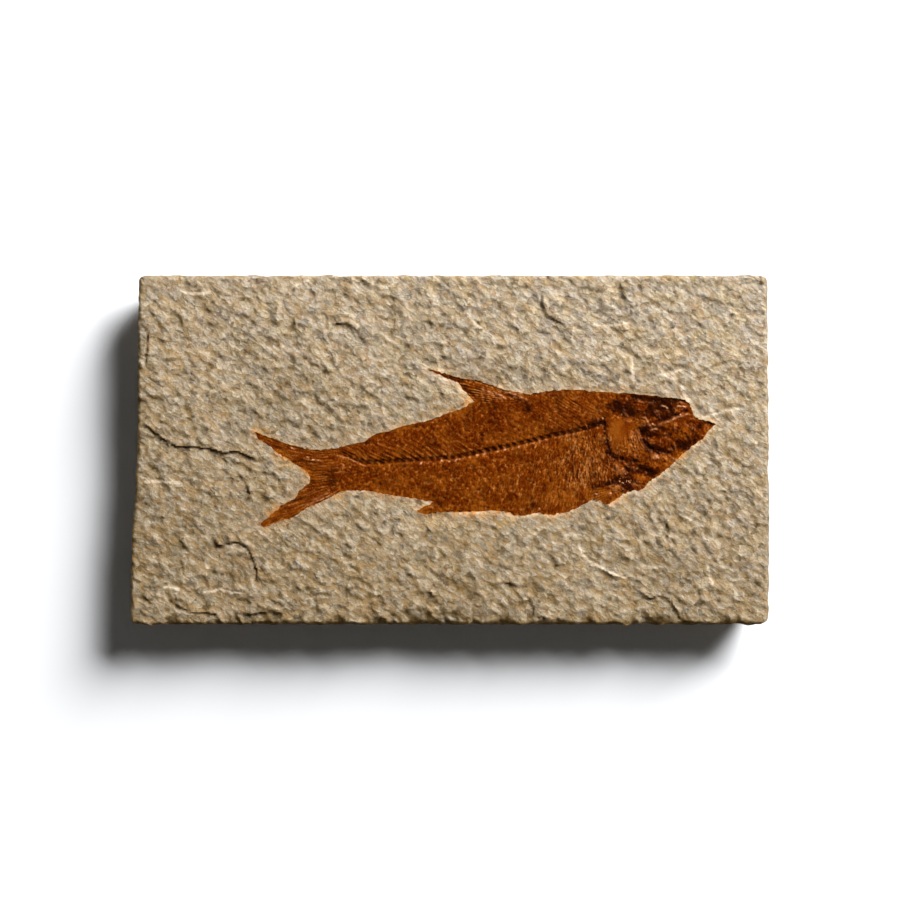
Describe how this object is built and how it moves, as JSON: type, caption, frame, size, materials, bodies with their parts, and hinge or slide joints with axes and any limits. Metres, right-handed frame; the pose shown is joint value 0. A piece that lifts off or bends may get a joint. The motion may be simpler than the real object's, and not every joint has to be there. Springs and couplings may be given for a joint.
{
  "type": "fossil fish in limestone slab",
  "caption": "Flattened fossil fish with backbone, ribs and forked tail, lying in the pecked face of a flat rectangular limestone slab.",
  "frame": {"origin": "middle of the slab's flat underside", "axes": "+X towards the snout of the fish, +Y towards its back, +Z out of the face that shows the fish"},
  "size_m": [0.1406, 0.0768, 0.01],
  "materials": {
    "limestone": "matt, pecked, pale tan with grey patches and rusty stains",
    "fossil_bone": "satin, dark rusty brown mineralised bone and scale film"
  },
  "bodies": {
    "root": {"limestone_slab": "limestone", "fossil_fish": "fossil_bone"}
  },
  "joints": []
}
